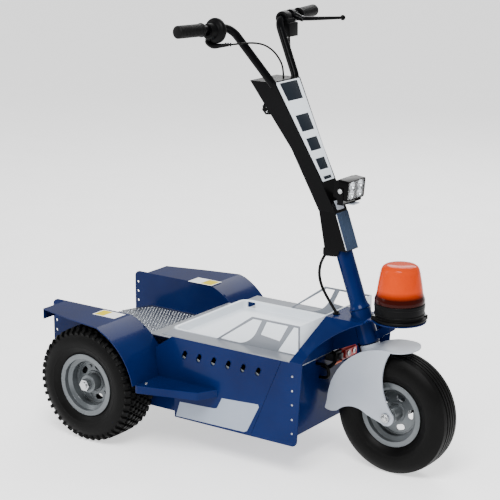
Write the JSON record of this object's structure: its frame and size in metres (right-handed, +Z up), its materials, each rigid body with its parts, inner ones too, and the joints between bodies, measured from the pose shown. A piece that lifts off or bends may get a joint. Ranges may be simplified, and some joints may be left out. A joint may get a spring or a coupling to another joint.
{
  "type": "electric tow tug",
  "caption": "Three-wheeled electric tow tug with a raked steering column, load tray, guards, beacon and rear hitch.",
  "frame": {"origin": "on the floor, under the middle of the overall length and width", "axes": "+X forward, +Y to the driver's left, +Z up"},
  "size_m": [1.276, 0.682, 1.208],
  "materials": {
    "body_blue": "gloss",
    "frame_grey": "satin",
    "tray_white": "satin",
    "deck_aluminium": "satin",
    "bare_steel": "satin",
    "black_paint": "satin",
    "black_plastic": "matte",
    "slate_sleeve": "satin",
    "rim_silver": "satin",
    "tyre_rubber": "matte",
    "grip_rubber": "matte",
    "amber_lens": "gloss",
    "lamp_glass": "gloss",
    "battery_case": "matte",
    "connector_red": "matte",
    "cable_sheath": "matte"
  },
  "bodies": {
    "chassis": {"deck": "deck_aluminium", "body_top": "deck_aluminium", "rear_wall": "body_blue", "belly_pan": "body_blue", "bulkhead": "body_blue", "battery_block": "battery_case", "nose_wall": "body_blue", "hood": "body_blue", "head_frame": "body_blue", "tray": "tray_white", "beacon_base": "black_plastic", "beacon_lens": "amber_lens", "tow_hitch": "bare_steel", "rear_axle": "bare_steel", "drive_unit": "black_plastic", "power_connector": "connector_red", "main_cable": "cable_sheath", "side_panel_right": "body_blue", "side_panel_left": "body_blue", "wheel_plate_right": "body_blue", "wheel_plate_left": "body_blue", "fender_right": "body_blue", "fender_left": "body_blue", "nose_sides": "body_blue", "side_steps": "body_blue", "tray_guards": "frame_grey"},
    "steering": {"fork": "frame_grey", "front_axle": "bare_steel", "steering_tube": "body_blue", "column_sleeve": "black_paint", "sleeve_plate": "slate_sleeve", "column_housing": "black_paint", "column_panel": "tray_white", "handlebar": "black_paint", "grips": "grip_rubber", "throttle_housing": "black_plastic", "switch_housing": "black_plastic", "brake_lever": "black_paint", "headlamp_housing": "black_plastic", "headlamp_lens": "lamp_glass", "lamp_yoke": "black_paint", "lamp_bracket": "frame_grey", "control_cable": "cable_sheath"},
    "front_wheel": {"front_tyre": "tyre_rubber", "front_rim": "rim_silver"},
    "rear_right_wheel": {"rear_tyre_right": "tyre_rubber", "rear_rim_right": "rim_silver"},
    "rear_left_wheel": {"rear_tyre_left": "tyre_rubber", "rear_rim_left": "rim_silver"}
  },
  "joints": [
    {"name": "steering", "type": "hinge", "parent": "chassis", "child": "steering", "pos_m": [0.363, 0, 0.402], "axis": [-0.3338, 0, 0.9426], "range_deg": [-60, 60], "deforming": ["main_cable"]},
    {"name": "front_wheel_spin", "type": "hinge", "parent": "steering", "child": "front_wheel", "pos_m": [0.473, 0, 0.165], "axis": [0, 1, 0], "continuous": true},
    {"name": "rear_right_wheel_spin", "type": "hinge", "parent": "chassis", "child": "rear_right_wheel", "pos_m": [-0.348, -0.268, 0.165], "axis": [0, 1, 0], "continuous": true},
    {"name": "rear_left_wheel_spin", "type": "hinge", "parent": "chassis", "child": "rear_left_wheel", "pos_m": [-0.348, 0.268, 0.165], "axis": [0, 1, 0], "continuous": true}
  ]
}
